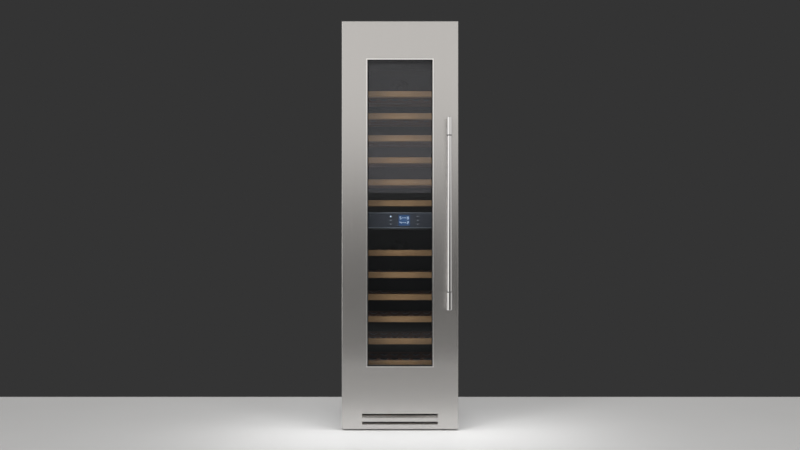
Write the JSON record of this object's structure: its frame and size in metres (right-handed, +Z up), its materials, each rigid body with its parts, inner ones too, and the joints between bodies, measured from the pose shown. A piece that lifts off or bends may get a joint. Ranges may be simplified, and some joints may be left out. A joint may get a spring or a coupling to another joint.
{
  "type": "wine cooler",
  "caption": "Tall column wine cooler with a stainless steel glass door, a bar handle, pull-out wooden bottle racks and a control panel between its zones.",
  "frame": {"origin": "on the floor, at the middle of the object's bounding box (door handle included)", "axes": "+Z up; +X to the right seen from the front; the door faces -Y"},
  "size_m": [0.607, 0.685, 2.134],
  "materials": {
    "stainless": "satin",
    "polished_trim": "polished",
    "handle_steel": "satin",
    "painted_steel": "satin",
    "galvanised_steel": "matte",
    "foam": "matte",
    "liner": "matte",
    "door_liner": "satin",
    "fascia": "gloss",
    "display": "gloss",
    "circuit_board": "satin",
    "coil": "satin",
    "lamp": "satin",
    "compressor_enamel": "gloss",
    "copper": "satin",
    "plastic": "matte",
    "glass": "gloss",
    "gasket": "matte",
    "shelf_wood": "satin",
    "key_plastic": "satin",
    "fan_plastic": "satin",
    "foot_plastic": "matte"
  },
  "bodies": {
    "root": {"outer_casing": "painted_steel", "back_panel": "galvanised_steel", "base_pan": "galvanised_steel", "insulation_foam": "foam", "upper_liner": "liner", "lower_liner": "liner", "control_housing": "liner", "control_fascia": "fascia", "display_module": "display", "control_board": "circuit_board", "upper_rack": "painted_steel", "lower_rack": "painted_steel", "upper_duct_cover": "liner", "lower_duct_cover": "liner", "upper_evaporator": "coil", "lower_evaporator": "coil", "upper_light": "lamp", "lower_light": "lamp", "compressor": "compressor_enamel", "condenser": "coil", "discharge_pipe": "copper", "fan_bracket": "galvanised_steel", "drip_tray": "plastic", "terminal_box": "plastic", "top_hinge": "galvanised_steel", "bottom_hinge": "galvanised_steel"},
    "door": {"door_panel": "stainless", "door_core": "door_liner", "window_trim": "polished_trim", "outer_glass": "glass", "inner_glass": "glass", "door_gasket": "gasket", "handle_bar": "handle_steel", "handle_post_upper": "handle_steel", "handle_post_lower": "handle_steel"},
    "upper_shelf_1": {"upper_shelf_1": "shelf_wood"},
    "upper_shelf_2": {"upper_shelf_2": "shelf_wood"},
    "upper_shelf_3": {"upper_shelf_3": "shelf_wood"},
    "upper_shelf_4": {"upper_shelf_4": "shelf_wood"},
    "upper_shelf_5": {"upper_shelf_5": "shelf_wood"},
    "upper_shelf_6": {"upper_shelf_6": "shelf_wood"},
    "lower_shelf_1": {"lower_shelf_1": "shelf_wood"},
    "lower_shelf_2": {"lower_shelf_2": "shelf_wood"},
    "lower_shelf_3": {"lower_shelf_3": "shelf_wood"},
    "lower_shelf_4": {"lower_shelf_4": "shelf_wood"},
    "lower_shelf_5": {"lower_shelf_5": "shelf_wood"},
    "lower_shelf_6": {"lower_shelf_6": "shelf_wood"},
    "key_left_top": {"key_left_top": "key_plastic"},
    "key_left_middle": {"key_left_middle": "key_plastic"},
    "key_left_bottom": {"key_left_bottom": "key_plastic"},
    "key_right_top": {"key_right_top": "key_plastic"},
    "key_right_middle": {"key_right_middle": "key_plastic"},
    "key_right_bottom": {"key_right_bottom": "key_plastic"},
    "upper_fan": {"upper_fan": "fan_plastic"},
    "lower_fan": {"lower_fan": "fan_plastic"},
    "condenser_fan": {"condenser_fan": "fan_plastic"},
    "foot_front_left": {"foot_front_left": "foot_plastic"},
    "foot_front_right": {"foot_front_right": "foot_plastic"},
    "foot_rear_left": {"foot_rear_left": "foot_plastic"},
    "foot_rear_right": {"foot_rear_right": "foot_plastic"}
  },
  "joints": [
    {"name": "door_swing", "type": "hinge", "parent": "root", "child": "door", "pos_m": [-0.2915, -0.2525, 1.07], "axis": [0, 0, -1], "range_deg": [0, 115]},
    {"name": "upper_shelf_1_slide", "type": "slide", "parent": "root", "child": "upper_shelf_1", "axis": [0, -1, 0], "range_m": [0, 0.035]},
    {"name": "upper_shelf_2_slide", "type": "slide", "parent": "root", "child": "upper_shelf_2", "axis": [0, -1, 0], "range_m": [0, 0.035]},
    {"name": "upper_shelf_3_slide", "type": "slide", "parent": "root", "child": "upper_shelf_3", "axis": [0, -1, 0], "range_m": [0, 0.035]},
    {"name": "upper_shelf_4_slide", "type": "slide", "parent": "root", "child": "upper_shelf_4", "axis": [0, -1, 0], "range_m": [0, 0.035]},
    {"name": "upper_shelf_5_slide", "type": "slide", "parent": "root", "child": "upper_shelf_5", "axis": [0, -1, 0], "range_m": [0, 0.035]},
    {"name": "upper_shelf_6_slide", "type": "slide", "parent": "root", "child": "upper_shelf_6", "axis": [0, -1, 0], "range_m": [0, 0.035]},
    {"name": "lower_shelf_1_slide", "type": "slide", "parent": "root", "child": "lower_shelf_1", "axis": [0, -1, 0], "range_m": [0, 0.035]},
    {"name": "lower_shelf_2_slide", "type": "slide", "parent": "root", "child": "lower_shelf_2", "axis": [0, -1, 0], "range_m": [0, 0.035]},
    {"name": "lower_shelf_3_slide", "type": "slide", "parent": "root", "child": "lower_shelf_3", "axis": [0, -1, 0], "range_m": [0, 0.035]},
    {"name": "lower_shelf_4_slide", "type": "slide", "parent": "root", "child": "lower_shelf_4", "axis": [0, -1, 0], "range_m": [0, 0.035]},
    {"name": "lower_shelf_5_slide", "type": "slide", "parent": "root", "child": "lower_shelf_5", "axis": [0, -1, 0], "range_m": [0, 0.035]},
    {"name": "lower_shelf_6_slide", "type": "slide", "parent": "root", "child": "lower_shelf_6", "axis": [0, -1, 0], "range_m": [0, 0.035]},
    {"name": "key_left_top_press", "type": "slide", "parent": "root", "child": "key_left_top", "axis": [0, 1, 0], "range_m": [0, 0.001], "stiffness_N_per_m": 600, "springref_m": -0.0005},
    {"name": "key_left_middle_press", "type": "slide", "parent": "root", "child": "key_left_middle", "axis": [0, 1, 0], "range_m": [0, 0.001], "stiffness_N_per_m": 600, "springref_m": -0.0005},
    {"name": "key_left_bottom_press", "type": "slide", "parent": "root", "child": "key_left_bottom", "axis": [0, 1, 0], "range_m": [0, 0.001], "stiffness_N_per_m": 600, "springref_m": -0.0005},
    {"name": "key_right_top_press", "type": "slide", "parent": "root", "child": "key_right_top", "axis": [0, 1, 0], "range_m": [0, 0.001], "stiffness_N_per_m": 600, "springref_m": -0.0005},
    {"name": "key_right_middle_press", "type": "slide", "parent": "root", "child": "key_right_middle", "axis": [0, 1, 0], "range_m": [0, 0.001], "stiffness_N_per_m": 600, "springref_m": -0.0005},
    {"name": "key_right_bottom_press", "type": "slide", "parent": "root", "child": "key_right_bottom", "axis": [0, 1, 0], "range_m": [0, 0.001], "stiffness_N_per_m": 600, "springref_m": -0.0005},
    {"name": "upper_fan_spin", "type": "hinge", "parent": "root", "child": "upper_fan", "pos_m": [0, 0.2495, 1.862], "axis": [0, 1, 0], "continuous": true},
    {"name": "lower_fan_spin", "type": "hinge", "parent": "root", "child": "lower_fan", "pos_m": [0, 0.2495, 0.94275], "axis": [0, 1, 0], "continuous": true},
    {"name": "condenser_fan_spin", "type": "hinge", "parent": "root", "child": "condenser_fan", "pos_m": [-0.14, -0.0645, 0.115], "axis": [0, 1, 0], "continuous": true},
    {"name": "foot_front_left_turn", "type": "hinge", "parent": "root", "child": "foot_front_left", "pos_m": [-0.245, -0.1625, 0], "axis": [0, 0, 1], "continuous": true},
    {"name": "foot_front_right_turn", "type": "hinge", "parent": "root", "child": "foot_front_right", "pos_m": [0.245, -0.1625, 0], "axis": [0, 0, 1], "continuous": true},
    {"name": "foot_rear_left_turn", "type": "hinge", "parent": "root", "child": "foot_rear_left", "pos_m": [-0.245, 0.2875, 0], "axis": [0, 0, 1], "continuous": true},
    {"name": "foot_rear_right_turn", "type": "hinge", "parent": "root", "child": "foot_rear_right", "pos_m": [0.245, 0.2875, 0], "axis": [0, 0, 1], "continuous": true}
  ]
}
